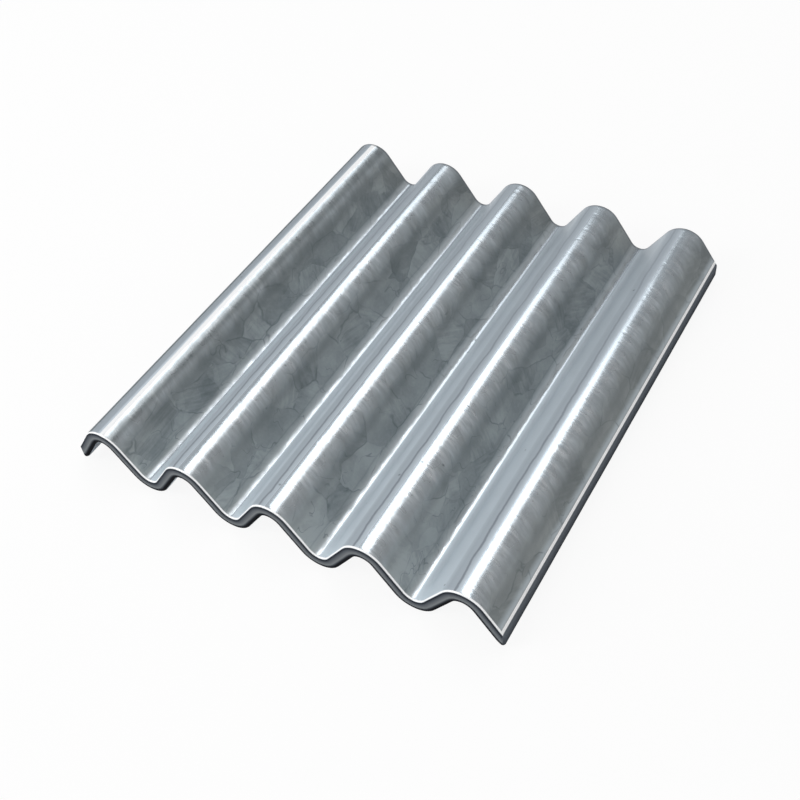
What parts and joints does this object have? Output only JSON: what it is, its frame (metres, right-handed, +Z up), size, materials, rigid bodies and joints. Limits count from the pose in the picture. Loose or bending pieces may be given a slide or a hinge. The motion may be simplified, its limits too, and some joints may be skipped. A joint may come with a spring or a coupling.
{
  "type": "corrugated metal sheet",
  "caption": "Heavy galvanised steel sheet with deep parallel waves, rounded cut edges and a plain lip on one side; cladding, roofing or decking stock laid over battens.",
  "frame": {"origin": "under the middle of the sheet, on the floor that the trough bottoms touch", "axes": "+Y along the corrugations towards the end that is far away in the picture, +X across the waves from the curled lip to the low side edge, +Z up through the crests"},
  "size_m": [0.365, 0.4, 0.0443],
  "materials": {
    "galvanised_steel": "weathered zinc coating, satin, with spangle and grey patina"
  },
  "bodies": {
    "root": {"corrugated_sheet": "galvanised_steel"}
  },
  "joints": []
}
